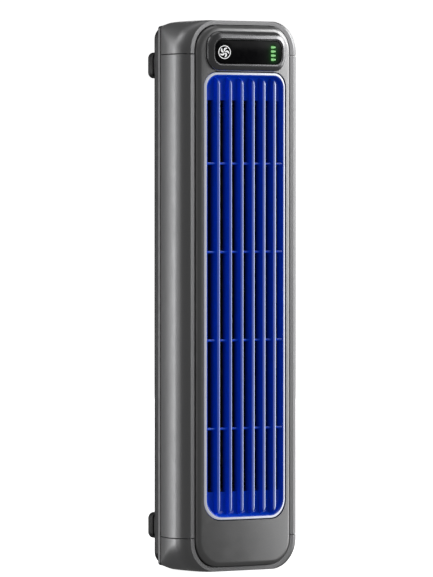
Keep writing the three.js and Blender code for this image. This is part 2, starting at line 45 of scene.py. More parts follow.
# ---------------------------------------------------------------------------------------------------------
# Frame: lengths below are millimetres in the fan's own drawing frame; y is depth behind the louvres' front
# edge and z is measured from mid height. OFF_Y and OFF_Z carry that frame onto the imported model.
# ---------------------------------------------------------------------------------------------------------
MM = 0.001
OFF_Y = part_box("display_bezel")[0].y / MM + 2.03
OFF_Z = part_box("top_cap")[1].z / MM - 150.0

HALF = 150.0
RIM_Y, RIM_A, RIM_B = 5.5, 34.75, 149.6
RIM_IN_A, RIM_IN_B = 32.1, 147.4
SEAM_Y, SEAM_A = 32.4, 35.6
BULGE, BULGE_Y, FLARE = 5.3, 13.5, math.radians(25)
END_CROWN, CORNER_FRONT, CORNER_REAR = 2.4, 16.3, 1.2
LIP_Y = 35.2
WALL, SPLIT_Z, SPLIT_GAP = 2.2, 131.4, 0.36
CROWN_R = 185.0
PANEL_Y, PANEL_A, PANEL_B, PANEL_FILLET, PANEL_T = 0.87, 31.7, 147.1, 2.75, 2.0
GRILLE_A, GRILLE_B, GRILLE_RT, GRILLE_RB = 27.3, 121.6, 7.8, 10.4
LOUVRE_PITCH, LOUVRE_T, LOUVRE_DEPTH, RIB_PITCH, RIB_T = 7.54, 1.7, 7.2, 48.05, 1.3
OUTLET_B = 106.5
POD_Z, POD_A, POD_B, LENS_A, LENS_B = 132.7, 26.3, 10.9, 22.3, 6.3
Y_LENS, Y_FRONT, Y_BACK, FOOT_H = -1.36, -2.03, 41.2, 9.5
KEY_X, KEY_R, LED_X, LED_PITCH = -16.5, 4.2, 16.5, 2.24
FOOT_X, FOOT_Z, FOOT_A = 25.0, 126.0, 7.1
PORT_X, PORT_Z = 26.2, -96.0

# ---------------------------------------------------------------------------------------------------------
# Camera first: the picture's own viewing angle, 36 degrees to the fan's left, almost level, long lens.
# ---------------------------------------------------------------------------------------------------------
PX_PER_MM, FOCAL_PX = 1.8367, 5660.0
PSI = math.radians(36.0)


def make_camera():
    dist = FOCAL_PX / PX_PER_MM
    right = (math.cos(PSI), -math.sin(PSI))
    ahead = (math.sin(PSI), math.cos(PSI))
    side = (248.45 - 216.5) / PX_PER_MM
    x = -dist * ahead[0] - side * right[0]
    y = OFF_Y - dist * ahead[1] - side * right[1]
    cam = bpy.data.cameras.new("camera")
    ob = bpy.data.objects.new("camera", cam)
    SCENE.collection.objects.link(ob)
    cam.sensor_fit = "AUTO"
    cam.sensor_width = 36.0
    cam.lens = 36.0 * FOCAL_PX / 577.0
    cam.clip_end = 60.0
    pitch = math.atan((288.5 - 195.0) / FOCAL_PX)
    ob.location = (x * MM, y * MM, 0.2050)
    ob.rotation_euler = (math.pi / 2 - pitch, 0.0, -PSI)
    SCENE.camera = ob
    return ob


make_camera()

# ---------------------------------------------------------------------------------------------------------
# Mesh helpers
# ---------------------------------------------------------------------------------------------------------


def sag(x, r=CROWN_R):
    return r - math.sqrt(r * r - x * x)


def outline(a, b, rt, rb=None, cx=0.0, cz=0.0, nc=14, stops=24):
    """Rounded rectangle in XZ: the top run left to right, then the bottom run right to left, equal counts."""
    rb = rt if rb is None else rb
    fr = [-1 + 2 * i / stops for i in range(1, stops)] if isinstance(stops, int) else list(stops)
    top, bot = [], []
    for i in range(nc + 1):
        t = math.radians(180 - 90 * i / nc)
        top.append((cx - a + rt + rt * math.cos(t), cz + b - rt + rt * math.sin(t)))
    top += [(cx + f * (a - rt), cz + b) for f in fr]
    for i in range(nc + 1):
        t = math.radians(90 - 90 * i / nc)
        top.append((cx + a - rt + rt * math.cos(t), cz + b - rt + rt * math.sin(t)))
    for i in range(nc + 1):
        t = math.radians(-90 * i / nc)
        bot.append((cx + a - rb + rb * math.cos(t), cz - b + rb + rb * math.sin(t)))
    bot += [(cx - f * (a - rb), cz - b) for f in fr]
    for i in range(nc + 1):
        t = math.radians(-90 - 90 * i / nc)
        bot.append((cx - a + rb + rb * math.cos(t), cz - b + rb + rb * math.sin(t)))
    return top + bot


def ring(o, y, r=0.0):
    return [(x, y + (sag(x, r) if r else 0.0), z) for x, z in o]


def loft(rings, caps=True, cyclic=False):
    """(verts, faces, ring index of each face); caps are strips joining the top run to the bottom run."""
    n = len(rings[0])
    m = n // 2
    verts = [p for r in rings for p in r]
    faces, tag = [], []
    last = len(rings) if cyclic else len(rings) - 1
    for k in range(last):
        o0, o1 = k * n, ((k + 1) % len(rings)) * n
        for i in range(n):
            j = (i + 1) % n
            faces.append((o0 + i, o0 + j, o1 + j, o1 + i))
            tag.append(k)
    if caps and not cyclic:
        for o, t in ((0, -1), ((len(rings) - 1) * n, len(rings))):
            for i in range(m - 1):
                faces.append((o + i, o + n - 1 - i, o + n - 2 - i, o + i + 1))
                tag.append(t)
    return verts, faces, tag


def lathe_y(profile, seg, x, z):
    """Solid of revolution about a line along Y; profile is (radius, y) from axis to axis or closed on itself."""
    verts, faces = [], []
    cols = []
    for r, y in profile:
        if r < 1e-6:
            cols.append([len(verts)])
            verts.append((x, y, z))
        else:
            cols.append([len(verts) + k for k in range(seg)])
            verts += [(x + r * math.cos(2 * math.pi * k / seg), y, z + r * math.sin(2 * math.pi * k / seg)) for k in range(seg)]
    closed = profile[0] != profile[-1] and profile[0][0] > 1e-6
    pairs = list(zip(cols[:-1], cols[1:])) + ([(cols[-1], cols[0])] if closed else [])
    for a, b in pairs:
        for k in range(seg):
            j = (k + 1) % seg
            if len(a) == 1 and len(b) == 1:
                continue
            if len(a) == 1:
                faces.append((a[0], b[k], b[j]))
            elif len(b) == 1:
                faces.append((a[k], b[0], a[j]))
            else:
                faces.append((a[k], b[k], b[j], a[j]))
    return verts, faces


def clean(me, deg=20.0, merge=2e-7):
    bm = bmesh.new()
    bm.from_mesh(me)
    bmesh.ops.remove_doubles(bm, verts=bm.verts, dist=merge)
    bmesh.ops.dissolve_degenerate(bm, edges=bm.edges, dist=merge)
    bmesh.ops.recalc_face_normals(bm, faces=bm.faces)
    lim = math.radians(deg)
    for f in bm.faces:
        f.smooth = True
    for e in bm.edges:
        e.smooth = len(e.link_faces) == 2 and e.calc_face_angle(0.0) < lim
    bm.to_mesh(me)
    bm.free()
    me.update()


def make(name, verts, faces, tag=None, by_tag=None, deg=20.0, shift=True):
    me = bpy.data.meshes.new(name)
    if shift:
        verts = [(x * MM, (y + OFF_Y) * MM, (z + OFF_Z) * MM) for x, y, z in verts]
    me.from_pydata(verts, [], faces)
    if tag is not None and by_tag is not None:
        for p, t in zip(me.polygons, tag):
            p.material_index = by_tag(t)
    clean(me, deg)
    ob = bpy.data.objects.new(name, me)
    SCENE.collection.objects.link(ob)
    return ob


def bake_mods(ob, deg=None):
    bpy.context.view_layer.update()
    dg = bpy.context.evaluated_depsgraph_get()
    me = bpy.data.meshes.new_from_object(ob.evaluated_get(dg), preserve_all_data_layers=True, depsgraph=dg)
    old = ob.data
    ob.modifiers.clear()
    ob.data = me
    bpy.data.meshes.remove(old)
    if deg is not None:
        clean(ob.data, deg)


def boolean(ob, cutters, op="DIFFERENCE", deg=20.0):
    col = bpy.data.collections.new("cutters")
    SCENE.collection.children.link(col)
    for c in cutters:
        for k in list(c.users_collection):
            k.objects.unlink(c)
        col.objects.link(c)
    m = ob.modifiers.new("b", "BOOLEAN")
    m.operation = op
    m.solver = "EXACT"
    m.operand_type = "COLLECTION"
    m.collection = col
    if op == "UNION":
        m.use_self = False
    bake_mods(ob, deg)
    for c in cutters:
        me = c.data
        bpy.data.objects.remove(c)
        bpy.data.meshes.remove(me)
    bpy.data.collections.remove(col)


def bevel(ob, width_mm, seg=2, angle=42.0, clamp=True):
    m = ob.modifiers.new("bevel", "BEVEL")
    m.width = width_mm * MM
    m.segments = seg
    m.limit_method = "ANGLE"
    m.angle_limit = math.radians(angle)
    m.use_clamp_overlap = clamp
    m.harden_normals = False
    bake_mods(ob, 24.0)


def weighted(ob):
    m = ob.modifiers.new("normals", "WEIGHTED_NORMAL")
    m.keep_sharp = True
    m.weight = 60


def join(objs, name):
    """One mesh from several, kept as separate closed islands."""
    bm = bmesh.new()
    for o in objs:
        bm.from_mesh(o.data)
    me = bpy.data.meshes.new(name)
    bm.to_mesh(me)
    bm.free()
    for o in objs:
        old = o.data
        bpy.data.objects.remove(o)
        bpy.data.meshes.remove(old)
    clean(me, 24.0)
    ob = bpy.data.objects.new(name, me)
    SCENE.collection.objects.link(ob)
    return ob


# ---------------------------------------------------------------------------------------------------------
# Materials
# ---------------------------------------------------------------------------------------------------------


class Mat:
    def __init__(self, name):
        self.m = bpy.data.materials.new(name)
        self.m.use_nodes = True
        self.t = self.m.node_tree
        self.b = next(n for n in self.t.nodes if n.type == "BSDF_PRINCIPLED")
        self.co = self.t.nodes.new("ShaderNodeTexCoord").outputs["Object"]

    def node(self, kind, **inputs):
        n = self.t.nodes.new(kind)
        for k, v in inputs.items():
            if hasattr(v, "is_output"):
                self.t.links.new(v, n.inputs[k])
            else:
                n.inputs[k].default_value = v
        return n

    def link(self, a, b):
        self.t.links.new(a, b)

    def noise(self, scale, detail=2.0, rough=0.5, stretch=None):
        co = self.co
        if stretch:
            mp = self.t.nodes.new("ShaderNodeMapping")
            mp.inputs["Scale"].default_value = stretch
            self.link(co, mp.inputs["Vector"])
            co = mp.outputs["Vector"]
        n = self.t.nodes.new("ShaderNodeTexNoise")
        n.inputs["Scale"].default_value = scale
        n.inputs["Detail"].default_value = detail
        n.inputs["Roughness"].default_value = rough
        self.link(co, n.inputs["Vector"])
        return n.outputs["Fac"]

    def remap(self, value, a, b, lo=0.3, hi=0.7, smooth=False):
        n = self.t.nodes.new("ShaderNodeMapRange")
        n.interpolation_type = "SMOOTHSTEP" if smooth else "LINEAR"
        n.inputs["From Min"].default_value = lo
        n.inputs["From Max"].default_value = hi
        n.inputs["To Min"].default_value = a
        n.inputs["To Max"].default_value = b
        self.link(value, n.inputs["Value"])
        return n.outputs["Result"]

    def math(self, op, a, b=None, clamp=False):
        n = self.t.nodes.new("ShaderNodeMath")
        n.operation = op
        n.use_clamp = clamp
        for i, v in enumerate((a, b)):
            if v is None:
                continue
            if hasattr(v, "is_output"):
                self.link(v, n.inputs[i])
            else:
                n.inputs[i].default_value = v
        return n.outputs[0]

    def mix(self, fac, a, b):
        n = self.t.nodes.new("ShaderNodeMix")
        n.data_type = "RGBA"
        ins = [s for s in n.inputs if s.type == "RGBA"]
        f = next(s for s in n.inputs if s.name == "Factor" and s.type == "VALUE")
        if hasattr(fac, "is_output"):
            self.link(fac, f)
        else:
            f.default_value = fac
        for s, v in zip(ins, (a, b)):
            if hasattr(v, "is_output"):
                self.link(v, s)
            else:
                s.default_value = tuple(v) + (1.0,) if len(v) == 3 else v
        return next(s for s in n.outputs if s.type == "RGBA")

    def xyz(self):
        n = self.t.nodes.new("ShaderNodeSeparateXYZ")
        self.link(self.co, n.inputs[0])
        return n.outputs["X"], n.outputs["Y"], n.outputs["Z"]

    def bump(self, height, strength, distance):
        n = self.t.nodes.new("ShaderNodeBump")
        n.inputs["Strength"].default_value = strength
        n.inputs["Distance"].default_value = distance
        self.link(height, n.inputs["Height"])
        self.link(n.outputs["Normal"], self.b.inputs["Normal"])

    def set(self, **kw):
        for k, v in kw.items():
            k = k.replace("_", " ")
            if hasattr(v, "is_output"):
                self.link(v, self.b.inputs[k])
            else:
                self.b.inputs[k].default_value = tuple(v) + (1.0,) if isinstance(v, (tuple, list)) and len(v) == 3 else v
        return self.m


def scaled(c, k):
    return tuple(min(1.0, v * k) for v in c)


def surface(name, color, rough, metal=0.0, grain=1200.0, vary=0.12, dr=0.06, bump=0.15, depth=2e-5, spec=0.5, coat=0.0, stretch=None):
    """A moulded, painted or turned surface: two scales of colour and roughness variation and a fine relief."""
    m = Mat(name)
    fine = m.noise(grain, 3.0, 0.6, stretch)
    wide = m.noise(22.0, 2.0, 0.5)
    c1 = m.mix(m.remap(fine, 0.0, 1.0), scaled(color, 1 - vary), scaled(color, 1 + vary))
    c2 = m.mix(m.remap(wide, 0.0, 1.0), scaled(color, 1 - vary / 2), scaled(color, 1 + vary / 2))
    both = m.mix(0.5, c1, c2)
    m.set(Base_Color=both, Metallic=metal)
    m.set(Roughness=m.remap(m.noise(160.0, 2.0), max(0.02, rough - dr), rough + dr))
    m.b.inputs["Specular IOR Level"].default_value = spec
    if coat:
        m.b.inputs["Coat Weight"].default_value = coat
        m.b.inputs["Coat Roughness"].default_value = 0.12
    m.bump(fine, bump, depth)
    return m.m


def paint(name, color, rough, metal=0.8, coat=0.0):
    """Satin metallic paint: tiny bright flakes, a soft orange peel and slight drift of tone."""
    m = Mat(name)
    v = m.t.nodes.new("ShaderNodeTexVoronoi")
    v.inputs["Scale"].default_value = 5200.0
    m.link(m.co, v.inputs["Vector"])
    flake = m.remap(v.outputs["Distance"], 1.0, 0.0, 0.1, 0.7)
    wide = m.noise(14.0, 3.0, 0.5)
    base = m.mix(m.math("MULTIPLY", flake, 0.55), scaled(color, 0.86), scaled(color, 1.22))
    tone = m.mix(m.remap(wide, 0.0, 1.0), scaled(color, 0.95), scaled(color, 1.05))
    m.set(Base_Color=m.mix(0.4, base, tone), Metallic=metal)
    m.set(Roughness=m.remap(m.noise(240.0, 2.0), rough - 0.03, rough + 0.03))
    if coat:
        m.b.inputs["Coat Weight"].default_value = coat
        m.b.inputs["Coat Roughness"].default_value = 0.08
    m.bump(m.noise(700.0, 2.0, 0.4), 0.08, 1.5e-5)
    return m.m


PAINT = paint("casing_paint", (0.31, 0.31, 0.315), 0.40, 0.85)
PANEL = paint("panel_paint", (0.30, 0.30, 0.302), 0.36, 0.87)
REAR = paint("rear_paint", (0.034, 0.034, 0.0355), 0.42, 0.7)
REAR_LIP = paint("rear_lip_paint", (0.12, 0.12, 0.122), 0.36, 0.8)
TRIM = paint("trim_gloss", (0.20, 0.20, 0.205), 0.24, 0.85, coat=0.15)


def blue_plastic():
    """Deep blue moulding with painted light: a pale lilac painted highlight on the louvres' front edges, painted shade
    darkening the blue further into the outlet and towards the right, and a faint painted glow.
    """
    m = Mat("grille_blue")
    x, y, z = m.xyz()
    crown = m.math("MULTIPLY", m.math("MULTIPLY", x, x), 1.0 / (2 * 0.1775))
    depth = m.math("SUBTRACT", m.math("SUBTRACT", y, crown), OFF_Y * MM)
    # nose masks the louvres' front edges, which carry the pale lilac painted highlight.
    nose = m.remap(depth, 1.0, 0.0, 0.00025, 0.0012, smooth=True)
    # Across each louvre's rounded nose the painted highlight is heavier on the right-hand half, the side the light
    # comes from.
    turn = m.math("FRACT", m.math("ADD", m.math("MULTIPLY", x, 1.0 / (LOUVRE_PITCH * MM)), 10.0))
    across = m.math("MULTIPLY", m.math("SUBTRACT", turn, 0.5), 2.0 * LOUVRE_PITCH / LOUVRE_T)
    edge = m.math("MULTIPLY", nose, m.remap(across, 0.15, 1.0, -0.4, 0.5, smooth=True))
    # Painted shade: the blue darkens with depth into the outlet and towards the right-hand side.
    painted_depth_shade = m.remap(depth, 0.0, 1.0, 0.0028, 0.0080, smooth=True)
    grain = m.noise(900.0, 2.0)
    blue = m.mix(m.remap(grain, 0.0, 1.0), (0.003, 0.098, 0.93), (0.004, 0.115, 1.0))
    right = m.remap(x, 0.0, 1.0, -0.012, 0.030)
    blue = m.mix(right, blue, (0.002, 0.046, 0.52))
    blue = m.mix(painted_depth_shade, blue, (0.0008, 0.010, 0.13))
    pale = m.mix(m.remap(m.noise(60.0), 0.0, 1.0), (0.56, 0.66, 1.0), (0.62, 0.72, 1.0))
    m.set(Base_Color=m.mix(edge, blue, pale))
    # Painted glow: the front edges glow with the painted highlight, brighter towards the right-hand side, and the blue
    # glows faintly, less so further into the outlet.
    painted_edge_glow = m.mix(m.remap(x, 0.0, 1.0, -0.022, 0.022), (0.16, 0.22, 0.56), (1.05, 1.20, 1.60))
    m.link(m.mix(edge, m.mix(painted_depth_shade, (0.0, 0.010, 0.085), (0.0, 0.001, 0.010)), painted_edge_glow), m.b.inputs["Emission Color"])
    m.b.inputs["Emission Strength"].default_value = 0.5
    m.set(Roughness=m.remap(m.noise(300.0), 0.16, 0.26))
    m.b.inputs["Specular IOR Level"].default_value = 0.5
    m.bump(m.noise(500.0), 0.05, 1e-5)
    return m.m


def rim_painted_highlight():
    m = Mat("grille_rim_pale")
    # The grille rim's pale lilac is painted highlight, and it glows, brighter towards the right-hand side where the
    # light falls.
    pale = m.mix(m.remap(m.noise(60.0), 0.0, 1.0), (0.82, 0.84, 0.97), (0.88, 0.90, 1.0))
    m.set(Base_Color=pale, Roughness=m.remap(m.noise(300.0), 0.2, 0.3))
    x, y, z = m.xyz()
    m.link(m.mix(m.remap(x, 0.0, 1.0, -0.030, 0.028), (0.84, 0.88, 1.0), (2.1, 2.15, 2.4)), m.b.inputs["Emission Color"])
    m.b.inputs["Emission Strength"].default_value = 0.24
    m.bump(m.noise(600.0), 0.05, 1e-5)
    return m.m


BLUE = blue_plastic()
RIM_PAINTED_HIGHLIGHT = rim_painted_highlight()


def lens_black():
    """Polished black lens: a faint green halo spreads through it round the lamps."""
    m = Mat("lens_black")
    x, y, z = m.xyz()
    dx = m.math("MULTIPLY", m.math("SUBTRACT", x, LED_X * MM), 1.0 / 0.0030)
    dz = m.math("MULTIPLY", m.math("SUBTRACT", z, (POD_Z - 0.5 + OFF_Z) * MM), 1.0 / 0.0052)
    r2 = m.math("ADD", m.math("MULTIPLY", dx, dx), m.math("MULTIPLY", m.math("MULTIPLY", dz, dz), m.math("MULTIPLY", dz, dz)))
    glow = m.math("DIVIDE", 1.0, m.math("ADD", 1.0, m.math("MULTIPLY", m.math("MULTIPLY", r2, r2), 2.5)))
    m.set(Base_Color=m.mix(m.remap(m.noise(400.0), 0.0, 1.0), (0.004, 0.004, 0.005), (0.007, 0.007, 0.008)))
    m.set(Roughness=m.remap(m.noise(200.0), 0.12, 0.17))
    m.b.inputs["Specular IOR Level"].default_value = 0.06
    m.b.inputs["Emission Strength"].default_value = 1.0
    m.link(m.mix(glow, (0.0, 0.0, 0.0), (0.003, 0.05, 0.004)), m.b.inputs["Emission Color"])
    m.bump(m.noise(120.0), 0.02, 1e-5)
    return m.m


LENS = lens_black()
WHITE = surface("print_white", (0.86, 0.86, 0.87), 0.4, vary=0.03, bump=0.02)
# Painted glow: the white print is given a faint white emission, so it stays bright whatever light reaches it.
WHITE.node_tree.nodes["Principled BSDF"].inputs["Emission Color"].default_value = (1, 1, 1, 1)
WHITE.node_tree.nodes["Principled BSDF"].inputs["Emission Strength"].default_value = 0.6


def lamp():
    m = Mat("lamp_green")
    x, y, z = m.xyz()
    n = m.noise(800.0)
    m.set(Base_Color=m.mix(m.remap(n, 0.0, 1.0), (0.18, 0.5, 0.16), (0.25, 0.6, 0.22)), Roughness=0.35)
    m.link(m.mix(m.remap(n, 0.0, 1.0), (0.28, 0.72, 0.24), (0.38, 0.86, 0.34)), m.b.inputs["Emission Color"])
    m.b.inputs["Emission Strength"].default_value = 0.5
    return m.m


LAMP = lamp()
RUBBER = surface("rubber_black", (0.012, 0.012, 0.0125), 0.55, vary=0.25, grain=2500.0, bump=0.3, depth=3e-5, spec=0.4)
FOOT_BASE = surface("foot_collar", (0.10, 0.10, 0.104), 0.3, vary=0.12, spec=0.6)
INNER = surface("inner_black", (0.02, 0.02, 0.022), 0.5, vary=0.15)
WHEEL = surface("wheel_black", (0.003, 0.004, 0.012), 0.6, vary=0.2, spec=0.2)
DUCT = surface("duct_blue", (0.002, 0.006, 0.05), 0.6, vary=0.15, spec=0.25)
STEEL = surface("turned_steel", (0.55, 0.56, 0.58), 0.28, 1.0, grain=900.0, stretch=(1, 1, 14), vary=0.08)
PLATED = surface("plated_steel", (0.62, 0.63, 0.65), 0.22, 1.0, vary=0.06)
BRONZE = surface("sintered_bronze", (0.50, 0.34, 0.15), 0.45, 1.0, grain=3500.0, vary=0.25, bump=0.4, depth=4e-5)
COPPER = surface("armature_copper", (0.42, 0.18, 0.08), 0.4, 0.8, grain=1800.0, vary=0.3, bump=0.5, depth=6e-5, stretch=(1, 1, 6))
FERRITE = surface("ferrite", (0.05, 0.05, 0.055), 0.6, 0.2, grain=3000.0, vary=0.2)
BOARD = surface("solder_mask", (0.01, 0.11, 0.04), 0.35, vary=0.3, grain=700.0, coat=0.3)
CELL = surface("cell_sleeve", (0.05, 0.22, 0.10), 0.3, vary=0.08, coat=0.2)
RED = surface("lead_red", (0.45, 0.02, 0.02), 0.45, vary=0.1)
YELLOW = surface("lead_yellow", (0.55, 0.35, 0.02), 0.45, vary=0.1)
RIBBON = surface("ribbon_grey", (0.42, 0.42, 0.44), 0.5, vary=0.2, grain=900.0, stretch=(1, 8, 0.2))
PLUNGER = surface("plunger_red", (0.4, 0.06, 0.05), 0.5)


def dress(ob, *mats):
    """Give an object its materials, keeping the face indices it was built with."""
    me = ob.data
    keep = [p.material_index for p in me.polygons]
    me.materials.clear()
    for m in mats:
        me.materials.append(m)
    for p, i in zip(me.polygons, keep):
        p.material_index = min(i, len(mats) - 1)


# ---------------------------------------------------------------------------------------------------------
# Casing
# ---------------------------------------------------------------------------------------------------------
FC, FS = math.cos(FLARE), math.sin(FLARE)


def half_width(y):
    if y < BULGE_Y:
        u = min(1.0, (BULGE_Y - y) / (BULGE_Y - RIM_Y))
        return RIM_A + BULGE * (math.sqrt(1 - (FC * u) ** 2) - FS) / (1 - FS)
    return RIM_A + BULGE - (RIM_A + BULGE - SEAM_A) * ((y - BULGE_Y) / (SEAM_Y - BULGE_Y)) ** 2


def half_height(t):
    if t < 0.08:
        return RIM_B + (HALF - RIM_B) * math.sin(t / 0.08 * math.pi / 2)
    return HALF if t < 0.8 else HALF - 0.8 * ((t - 0.8) / 0.2) ** 1.6


def corner(t):
    return CORNER_REAR + (CORNER_FRONT - CORNER_REAR) * (1 - t ** 2.2)


STOPS = [-0.94, -0.86, -0.78, -0.70, -0.62, -0.55, -0.35, -0.15, 0.15, 0.35, 0.55, 0.62, 0.70, 0.78, 0.86, 0.94]
NC = 16


def casing_ring(inset, y):
    t = min(1.0, max(0.0, (y - RIM_Y) / (SEAM_Y - RIM_Y)))
    a, b = half_width(max(y, RIM_Y)) - inset, half_height(t) - inset
    r = max(1.0, corner(t) - inset * 0.6)
    flat = 0.55 * (a - r)
    pts = []
    for x, z in outline(a, b, r, nc=NC, stops=STOPS):
        d = END_CROWN * t * (max(0.0, abs(x) - flat) / (a - flat)) ** 2
        pts.append((x, y, z - d if z > 0 else z + d))
    return pts


def rim_ring(grow, y):
    return ring(outline(RIM_IN_A + grow, RIM_IN_B + grow, 14.0 + grow, nc=NC, stops=STOPS), y)


def casing_profile():
    rings = []
    for i in range(13):
        th = FLARE + (math.pi / 2 - FLARE) * i / 12
        rings.append(casing_ring(0, RIM_Y + (BULGE_Y - RIM_Y) * (1 - math.cos(th) / FC)))
    for i in range(1, 17):
        rings.append(casing_ring(0, BULGE_Y + (SEAM_Y - 0.5 - BULGE_Y) * i / 16))
    for i in range(1, 5):
        t = i / 4 * math.pi / 2
        rings.append(casing_ring(0.5 * (1 - math.cos(t)), SEAM_Y - 0.5 + 0.5 * math.sin(t)))
    rings.append(ring(outline(33.0, 145.2, 6.0, nc=NC, stops=STOPS), SEAM_Y))
    rings.append(ring(outline(33.0, 145.2, 6.0, nc=NC, stops=STOPS), SEAM_Y - 1.9))
    for y in (SEAM_Y - 1.9, 26.0, 20.0, BULGE_Y, RIM_Y + 5, RIM_Y + 2.8):
        rings.append(casing_ring(WALL, y))
    rings.append(rim_ring(0.0, RIM_Y + 2.8))
    for i in range(4):
        t = i / 3 * math.pi / 2
        rings.append(rim_ring(0.35 * (1 - math.cos(t)), RIM_Y + 0.35 * (1 - math.sin(t))))
    return rings


def cut_piece(source, name, planes):
    bm = bmesh.new()
    bm.from_mesh(source)
    for co, no in planes:
        geom = bm.verts[:] + bm.edges[:] + bm.faces[:]
        res = bmesh.ops.bisect_plane(bm, geom=geom, dist=1e-8, plane_co=co, plane_no=no, clear_outer=True)
        edges = [e for e in res["geom_cut"] if isinstance(e, bmesh.types.BMEdge)]
        edges = [e for e in bm.edges if len(e.link_faces) == 1]
        bmesh.ops.holes_fill(bm, edges=edges, sides=0)
        caps = [e for e in bm.edges if len(e.link_faces) == 2 and any(abs(f.normal.dot(no.normalized())) > 0.999 and len(f.verts) > 8 for f in e.link_faces)]
        bmesh.ops.bevel(bm, geom=caps, offset=0.16 * MM, segments=2, profile=0.5, affect="EDGES", clamp_overlap=True)
    me = bpy.data.meshes.new(name)
    bm.to_mesh(me)
    bm.free()
    clean(me, 22.0)
    ob = bpy.data.objects.new(name, me)
    SCENE.collection.objects.link(ob)
    return ob


from mathutils import Vector  # noqa: E402


def build_casing():
    v, f, _ = loft(casing_profile(), cyclic=True)
    whole = make("casing_whole", v, f)
    zt = (SPLIT_Z + OFF_Z + SPLIT_GAP / 2) * MM
    zt2 = (SPLIT_Z + OFF_Z - SPLIT_GAP / 2) * MM
    zb = (-SPLIT_Z + OFF_Z + SPLIT_GAP / 2) * MM
    zb2 = (-SPLIT_Z + OFF_Z - SPLIT_GAP / 2) * MM
    up, dn = Vector((0, 0, 1)), Vector((0, 0, -1))
    lt, rt = Vector((-1, 0, 0)), Vector((1, 0, 0))
    me = whole.data
    parts = {
        "top_cap": cut_piece(me, "top_cap_shell", [(Vector((0, 0, zt)), dn)]),
        "bottom_cap": cut_piece(me, "bottom_cap_shell", [(Vector((0, 0, zb2)), up)]),
        "left_side_shell": cut_piece(me, "left_side_panel", [(Vector((0, 0, zt2)), up), (Vector((0, 0, zb)), dn), (Vector((0, 0, 0)), rt)]),
        "right_side_shell": cut_piece(me, "right_side_panel", [(Vector((0, 0, zt2)), up), (Vector((0, 0, zb)), dn), (Vector((0, 0, 0)), lt)]),
    }
    bpy.data.objects.remove(whole)
    bpy.data.meshes.remove(me)
    for node, ob in parts.items():
        dress(ob, PAINT)
        weighted(ob)
        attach(ob, "housing")
        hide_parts(node)


build_casing()

# ---------------------------------------------------------------------------------------------------------
# Front panel
# ---------------------------------------------------------------------------------------------------------


def build_panel():
    P = dict(nc=18, stops=56)

    def po(i):
        return outline(PANEL_A - i, PANEL_B - i, 13.8 - 0.55 * i, **P)

    rings = []
    n = 12
    for i in range(n + 1):
        t = i / n * math.pi / 2
        rings.append(ring(po(PANEL_FILLET * (1 - math.sin(t))), PANEL_Y + PANEL_FILLET * (1 - math.cos(t)), CROWN_R))
    fl = outline(33.9, 147.3, 15.0, **P)
    rings += [ring(po(0), RIM_Y + 3.2), ring(fl, RIM_Y + 3.2), ring(fl, 10.0), ring(po(1.9), 10.0),
              ring(po(2.1), PANEL_Y + PANEL_T + 2.2, CROWN_R), ring(po(3.6), PANEL_Y + PANEL_T, CROWN_R)]
    v, f, _ = loft(rings)
    ob = make("front_panel_shell", v, f)
    g = outline(GRILLE_A + 0.5, GRILLE_B + 0.5, GRILLE_RT + 0.5, GRILLE_RB + 0.5, nc=24, stops=2)
    p = outline(POD_A - 1.5, 8.55, 7.2, cz=POD_Z, nc=20, stops=2)
    cut = []
    for o in (g, p):
        v, f, _ = loft([ring(o, -5), ring(o, 8)])
        cut.append(make("cut", v, f))
    boolean(ob, cut)
    posts = []
    for i in (-1, 1):
        for k in (-1, 1):
            x, z = i * FOOT_X, k * FOOT_Z
            v, f = lathe_y([(0, 4.3), (3.6, 4.3), (3.6, 38.5), (3.2, 38.9), (1.15, 38.9), (1.15, 26.5), (0, 26.5)], 32, x, z)
            posts.append(make("post", v, f))
    boolean(ob, posts, "UNION")
    dress(ob, PANEL)
    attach(ob, "housing")
    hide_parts("front_panel")
    return ob


build_panel()

# ---------------------------------------------------------------------------------------------------------
# Outlet grille
# ---------------------------------------------------------------------------------------------------------


